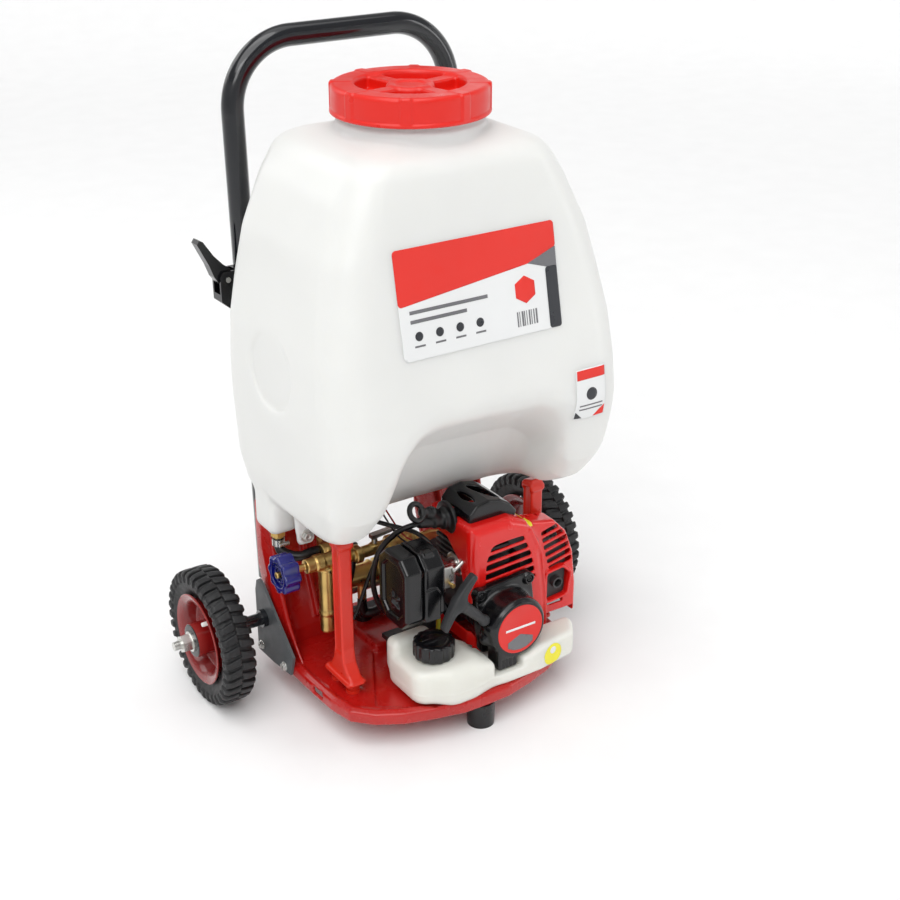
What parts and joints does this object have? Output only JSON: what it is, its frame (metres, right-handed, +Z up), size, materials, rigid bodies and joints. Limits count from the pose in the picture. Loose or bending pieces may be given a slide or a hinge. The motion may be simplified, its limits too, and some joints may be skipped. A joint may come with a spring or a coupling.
{
  "type": "wheeled sprayer cart",
  "caption": "Two-wheel cart with a large translucent spray tank, small recoil-start engine, brass plunger pump, moulded tray and back panel, and a telescopic U-shaped push handle.",
  "frame": {"origin": "on the ground under the middle of the object's box", "axes": "+Z up, -Y towards the front where the engine is, X along the wheel axle"},
  "size_m": [0.546, 0.312, 0.7398],
  "materials": {
    "red_moulding": "gloss moulded",
    "orange_moulding": "gloss moulded",
    "rubber": "matte",
    "zinc": "bright zinc",
    "steel": "ground",
    "grey_paint": "satin powder coat",
    "black_paint": "gloss powder coat",
    "tyre": "moulded",
    "rim_paint": "gloss paint",
    "black_plastic": "satin gloss",
    "grip_plastic": "matte",
    "tank_plastic": "satin blow-moulded",
    "cap_plastic": "moulded",
    "brass": "machined and cast",
    "cast_metal": "die cast",
    "ceramic": "glazed",
    "shroud_plastic": "gloss moulded",
    "muffler_steel": "heat-proof black",
    "badge_plastic": "printed",
    "cord": "braided",
    "fuel_plastic": "satin blow-moulded",
    "fuel_hose": "clear tinted",
    "blue_plastic": "gloss moulded"
  },
  "bodies": {
    "cart": {"base_frame": "red_moulding", "front_foot": "rubber", "leg_left": "orange_moulding", "leg_right": "orange_moulding", "leg_bushes": "orange_moulding", "frame_bolts": "zinc", "bracket_left": "grey_paint", "bracket_right": "grey_paint", "axle": "zinc", "axle_sleeves": "black_paint", "axle_nuts": "zinc", "lower_tubes": "black_paint", "tank": "tank_plastic", "strainer": "black_plastic", "tank_outlet": "brass", "engine_mounts": "rubber", "crankcase": "cast_metal", "cylinder_block": "cast_metal", "spark_plug": "ceramic", "plug_boot": "rubber", "ignition_lead": "rubber", "engine_shroud": "shroud_plastic", "top_cover": "black_plastic", "muffler": "muffler_steel", "starter_housing": "black_plastic", "starter_badge": "badge_plastic", "carburettor": "cast_metal", "filter_base": "black_plastic", "filter_cover": "black_plastic", "fuel_tank": "fuel_plastic", "fuel_line": "fuel_hose", "throttle_cable": "rubber", "pump_body": "brass", "pump_hoses": "rubber", "hose_clamps": "zinc"},
    "wheel_left": {"tyre_left": "tyre", "inner_tube_left": "rubber", "rim_left": "rim_paint", "bearings_left": "steel", "dust_caps_left": "black_plastic"},
    "wheel_right": {"tyre_right": "tyre", "inner_tube_right": "rubber", "rim_right": "rim_paint", "bearings_right": "steel", "dust_caps_right": "black_plastic"},
    "handle": {"handle_tube": "black_paint", "clamp_fittings": "zinc", "clamp_bodies": "black_plastic"},
    "clamp_lever_left": {"clamp_lever_left": "black_plastic"},
    "clamp_lever_right": {"clamp_lever_right": "black_plastic"},
    "cap_seal": {"cap_gasket": "rubber"},
    "tank_cap": {"tank_cap": "cap_plastic"},
    "crankshaft": {"flywheel": "cast_metal"},
    "starter_pulley": {"starter_pulley": "black_plastic"},
    "pull_handle": {"pull_handle": "grip_plastic", "pull_rope": "cord"},
    "choke_lever": {"choke_lever": "black_plastic"},
    "fuel_cap": {"fuel_cap": "black_plastic"},
    "pressure_knob": {"pressure_knob": "blue_plastic"},
    "outlet_tap": {"outlet_tap": "zinc"}
  },
  "joints": [
    {"name": "wheel_spin_left", "type": "hinge", "parent": "cart", "child": "wheel_left", "pos_m": [-0.226, 0.076, 0.08], "axis": [1, 0, 0], "continuous": true},
    {"name": "wheel_spin_right", "type": "hinge", "parent": "cart", "child": "wheel_right", "pos_m": [0.226, 0.076, 0.08], "axis": [1, 0, 0], "continuous": true},
    {"name": "handle_slide", "type": "slide", "parent": "cart", "child": "handle", "axis": [0, 0.0349, 0.9994], "range_m": [0, 0.12]},
    {"name": "clamp_open_left", "type": "hinge", "parent": "handle", "child": "clamp_lever_left", "pos_m": [-0.159, 0.12512, 0.48198], "axis": [0, -0.9994, 0.0349], "range_deg": [0, 90]},
    {"name": "clamp_open_right", "type": "hinge", "parent": "handle", "child": "clamp_lever_right", "pos_m": [0.159, 0.12512, 0.48198], "axis": [0, 0.9994, -0.0349], "range_deg": [0, 90]},
    {"name": "cap_turn", "type": "hinge", "parent": "cap_seal", "child": "tank_cap", "pos_m": [0, -0.0035, 0.68], "axis": [0, 0, 1], "range_deg": [0, 540]},
    {"name": "cap_lift", "type": "slide", "parent": "cart", "child": "cap_seal", "axis": [0, 0, 1], "range_m": [0, 0.012]},
    {"name": "crank_spin", "type": "hinge", "parent": "cart", "child": "crankshaft", "pos_m": [0.047, -0.04, 0.11], "axis": [0, 1, 0], "continuous": true},
    {"name": "starter_pull", "type": "slide", "parent": "cart", "child": "pull_handle", "axis": [-0.3495, -0.799, 0.4894], "range_m": [0, 0.5], "stiffness_N_per_m": 6, "springref_m": -0.6, "deforming": ["pull_rope"]},
    {"name": "pulley_spin", "type": "hinge", "parent": "cart", "child": "starter_pulley", "pos_m": [0.047, -0.134, 0.11], "axis": [0, 1, 0], "range_deg": [0, 1850]},
    {"name": "choke_turn", "type": "hinge", "parent": "cart", "child": "choke_lever", "pos_m": [-0.028, -0.096, 0.146], "axis": [1, 0, 0], "range_deg": [0, 50]},
    {"name": "fuel_cap_turn", "type": "hinge", "parent": "cart", "child": "fuel_cap", "pos_m": [-0.045, -0.112, 0.1], "axis": [0, 0, 1], "range_deg": [0, 540]},
    {"name": "knob_turn", "type": "hinge", "parent": "cart", "child": "pressure_knob", "pos_m": [-0.165, 0.004, 0.176], "axis": [-1, 0, 0], "range_deg": [0, 720]},
    {"name": "tap_turn", "type": "hinge", "parent": "cart", "child": "outlet_tap", "pos_m": [-0.05, 0.004, 0.185], "axis": [0, 0, 1], "range_deg": [0, 90]}
  ],
  "couplings": [
    {"joint": "cap_lift", "follows": "cap_turn", "m_per_rad": 0.0011141},
    {"joint": "pulley_spin", "follows": "starter_pull", "rad_per_m": 64.103}
  ]
}
